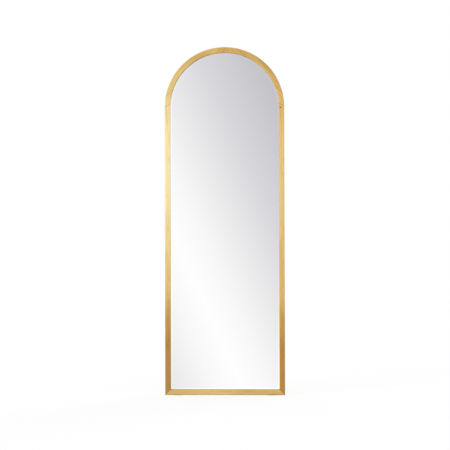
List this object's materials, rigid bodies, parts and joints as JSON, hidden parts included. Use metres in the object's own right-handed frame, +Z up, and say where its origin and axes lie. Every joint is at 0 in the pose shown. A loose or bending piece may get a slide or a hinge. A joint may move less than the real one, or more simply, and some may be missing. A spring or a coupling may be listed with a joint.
{
  "type": "floor mirror",
  "caption": "Tall arched floor mirror: slim wooden frame, bevelled glass, backboard held by turn buttons, ring hangers and bumpers behind.",
  "frame": {"origin": "on the floor, in the middle of the frame's width and of the full depth from the wood's face to the wall bumpers", "axes": "+Z up, +Y towards the wall behind, +X to the right as seen from the front; the glass faces -Y and stands vertical"},
  "size_m": [0.559, 0.036, 1.626],
  "materials": {
    "frame_wood": "satin",
    "dowel_wood": "matte",
    "mirror": "polished",
    "card": "matte",
    "fibreboard": "matte",
    "hardware_steel": "satin",
    "screw_steel": "satin",
    "block_rubber": "matte",
    "bumper_rubber": "matte",
    "pad_rubber": "matte"
  },
  "bodies": {
    "root": {"left_stile": "frame_wood", "right_stile": "frame_wood", "bottom_rail": "frame_wood", "arch_left_lower_end": "frame_wood", "arch_left_middle": "frame_wood", "arch_left_upper_end": "frame_wood", "arch_right_lower_end": "frame_wood", "arch_right_middle": "frame_wood", "arch_right_upper_end": "frame_wood", "stile_dowels": "dowel_wood", "apex_dowels": "dowel_wood", "left_corner_nails": "hardware_steel", "right_corner_nails": "hardware_steel", "mirror_glass": "mirror", "setting_blocks": "block_rubber", "side_spacers": "block_rubber", "backing_card": "card", "backboard": "fibreboard", "turn_button_screws": "screw_steel", "hanger_screws": "screw_steel", "left_hanger_strap": "hardware_steel", "right_hanger_strap": "hardware_steel", "wall_bumpers": "bumper_rubber", "floor_pads": "pad_rubber"},
    "button_1": {"turn_button_1": "hardware_steel"},
    "button_2": {"turn_button_2": "hardware_steel"},
    "button_3": {"turn_button_3": "hardware_steel"},
    "button_4": {"turn_button_4": "hardware_steel"},
    "button_5": {"turn_button_5": "hardware_steel"},
    "button_6": {"turn_button_6": "hardware_steel"},
    "button_7": {"turn_button_7": "hardware_steel"},
    "button_8": {"turn_button_8": "hardware_steel"},
    "button_9": {"turn_button_9": "hardware_steel"},
    "left_ring": {"left_hanger_ring": "hardware_steel"},
    "right_ring": {"right_hanger_ring": "hardware_steel"}
  },
  "joints": [
    {"name": "button_1_turn", "type": "hinge", "parent": "root", "child": "button_1", "pos_m": [-0.2698, 0.012, 0.22525], "axis": [0, 1, 0], "range_deg": [-90, 90]},
    {"name": "button_2_turn", "type": "hinge", "parent": "root", "child": "button_2", "pos_m": [-0.2698, 0.012, 0.67375], "axis": [0, 1, 0], "range_deg": [-90, 90]},
    {"name": "button_3_turn", "type": "hinge", "parent": "root", "child": "button_3", "pos_m": [-0.2698, 0.012, 1.12225], "axis": [0, 1, 0], "range_deg": [-90, 90]},
    {"name": "button_4_turn", "type": "hinge", "parent": "root", "child": "button_4", "pos_m": [0.2698, 0.012, 0.22525], "axis": [0, 1, 0], "range_deg": [-90, 90]},
    {"name": "button_5_turn", "type": "hinge", "parent": "root", "child": "button_5", "pos_m": [0.2698, 0.012, 0.67375], "axis": [0, 1, 0], "range_deg": [-90, 90]},
    {"name": "button_6_turn", "type": "hinge", "parent": "root", "child": "button_6", "pos_m": [0.2698, 0.012, 1.12225], "axis": [0, 1, 0], "range_deg": [-90, 90]},
    {"name": "button_7_turn", "type": "hinge", "parent": "root", "child": "button_7", "pos_m": [0.19078, 0.012, 1.53728], "axis": [0, 1, 0], "range_deg": [-90, 90]},
    {"name": "button_8_turn", "type": "hinge", "parent": "root", "child": "button_8", "pos_m": [-0.19078, 0.012, 1.53728], "axis": [0, 1, 0], "range_deg": [-90, 90]},
    {"name": "button_9_turn", "type": "hinge", "parent": "root", "child": "button_9", "pos_m": [0, 0.012, 0.0107], "axis": [0, 1, 0], "range_deg": [-90, 90]},
    {"name": "left_ring_swing", "type": "hinge", "parent": "root", "child": "left_ring", "pos_m": [-0.2698, 0.01475, 1.2365], "axis": [1, 0, 0], "range_deg": [0, 180]},
    {"name": "right_ring_swing", "type": "hinge", "parent": "root", "child": "right_ring", "pos_m": [0.2698, 0.01475, 1.2365], "axis": [1, 0, 0], "range_deg": [0, 180]}
  ]
}
